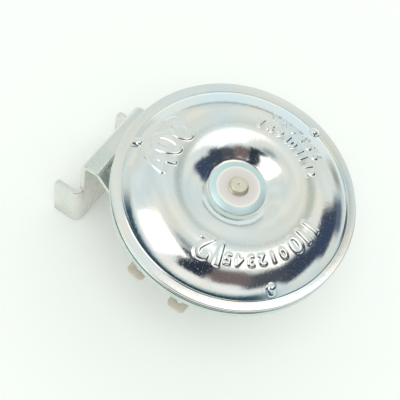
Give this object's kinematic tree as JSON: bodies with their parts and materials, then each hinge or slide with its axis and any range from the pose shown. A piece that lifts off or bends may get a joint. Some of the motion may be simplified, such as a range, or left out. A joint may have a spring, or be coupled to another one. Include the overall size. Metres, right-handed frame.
{
  "type": "electric car horn",
  "caption": "Disc-type electric car horn with a bright zinc tone disc, a bent strip bracket and two blade terminals.",
  "frame": {"origin": "centre of the bolt hole, in the outer face of the bracket's wall", "axes": "+X from the bracket's wall toward the horn, +Z along the horn's axis, out through the tone disc"},
  "size_m": [0.0955, 0.0802, 0.0636],
  "materials": {
    "bright_zinc": "bright zinc plate on pressed steel, smooth and shiny",
    "zinc_plate": "bright zinc plate on bent steel strip, pale and slightly milky",
    "green_passivate": "zinc plate with a faint green-blue passivation",
    "yellow_passivate": "yellow passivated zinc on a riveted shaft end",
    "tinned_brass": "dull tin plate on pressed brass",
    "soft_iron": "turned soft iron, thin zinc",
    "spring_steel": "rolled spring steel, bare and satin",
    "copper_wire": "enamelled copper wire, wound tight",
    "bobbin_nylon": "natural moulded nylon",
    "phenolic": "brown-black phenolic moulding",
    "gasket_board": "waxed gasket board",
    "tungsten": "sintered tungsten, fine matt"
  },
  "bodies": {
    "root": {"rim_ring": "bright_zinc", "diaphragm": "spring_steel", "rim_gasket": "gasket_board", "housing": "zinc_plate", "core_stud": "soft_iron", "coil_washer": "gasket_board", "coil_bobbin": "bobbin_nylon", "coil_winding": "copper_wire", "arm_insulators": "phenolic", "stack_rivets": "tinned_brass", "fixed_arm": "tinned_brass", "fixed_contact": "tungsten", "moving_arm": "spring_steel", "moving_contact": "tungsten", "arm_button": "phenolic", "adjusting_screw": "zinc_plate", "screw_bush": "zinc_plate", "terminal_base": "phenolic", "base_rivets": "tinned_brass", "terminal_left": "tinned_brass", "terminal_right": "tinned_brass", "coil_lead": "copper_wire", "fixed_arm_lead": "copper_wire", "moving_arm_lead": "copper_wire", "bracket": "zinc_plate", "lock_washer": "zinc_plate", "fixing_nut": "zinc_plate"},
    "vibrating_set": {"tone_disc": "bright_zinc", "disc_washer": "green_passivate", "armature_shaft": "yellow_passivate", "spacer": "zinc_plate", "armature": "soft_iron"}
  },
  "joints": [
    {"name": "vibration", "type": "slide", "parent": "root", "child": "vibrating_set", "axis": [0, 0, 1], "range_m": [-0.0005, 0.0004], "stiffness_N_per_m": 3000, "deforming": ["diaphragm", "moving_arm", "arm_button"]}
  ]
}
